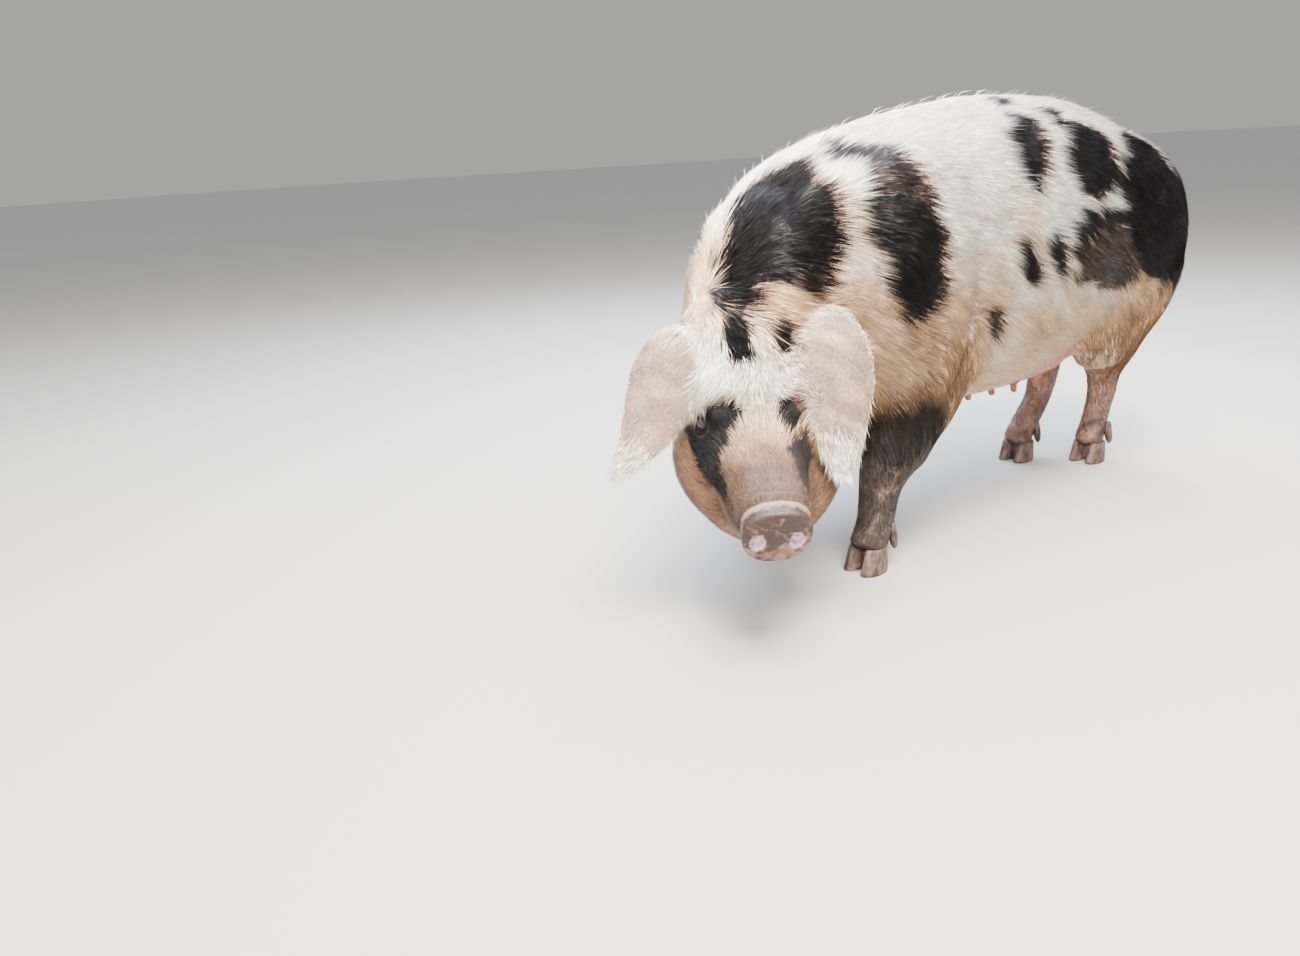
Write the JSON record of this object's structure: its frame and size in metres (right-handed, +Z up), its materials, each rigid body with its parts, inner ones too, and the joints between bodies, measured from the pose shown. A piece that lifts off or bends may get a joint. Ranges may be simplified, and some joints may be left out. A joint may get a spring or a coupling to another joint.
{
  "type": "pig",
  "caption": "Life-size still model of a standing lop-eared spotted sow, head low and turned to its left.",
  "frame": {"origin": "middle of the animal's box, on the floor", "axes": "+Z up, -Y the way the body faces, +X the animal's left"},
  "size_m": [0.5816, 1.5154, 0.824],
  "materials": {
    "coat": "short straight bristle hair, cream with black patches",
    "ear_skin": "thin grey-pink skin with fine white hair",
    "snout": "bare damp pink skin with dried mud",
    "eye": "wet, dark brown",
    "claw_horn": "matt horn, pinkish grey, muddy"
  },
  "bodies": {
    "root": {"trunk": "coat", "neck": "coat", "head": "coat", "snout_disc": "snout", "ear_left": "ear_skin", "ear_right": "ear_skin", "eye_left": "eye", "eye_right": "eye", "tail": "coat", "foreleg_left": "coat", "foreleg_right": "coat", "hindleg_left": "coat", "hindleg_right": "coat", "claw_foreleg_left_inner": "claw_horn", "claw_foreleg_left_outer": "claw_horn", "claw_foreleg_right_inner": "claw_horn", "claw_foreleg_right_outer": "claw_horn", "claw_hindleg_left_inner": "claw_horn", "claw_hindleg_left_outer": "claw_horn", "claw_hindleg_right_inner": "claw_horn", "claw_hindleg_right_outer": "claw_horn", "dewclaw_foreleg_left_inner": "claw_horn", "dewclaw_foreleg_left_outer": "claw_horn", "dewclaw_foreleg_right_inner": "claw_horn", "dewclaw_foreleg_right_outer": "claw_horn", "dewclaw_hindleg_left_inner": "claw_horn", "dewclaw_hindleg_left_outer": "claw_horn", "dewclaw_hindleg_right_inner": "claw_horn", "dewclaw_hindleg_right_outer": "claw_horn"}
  },
  "joints": []
}
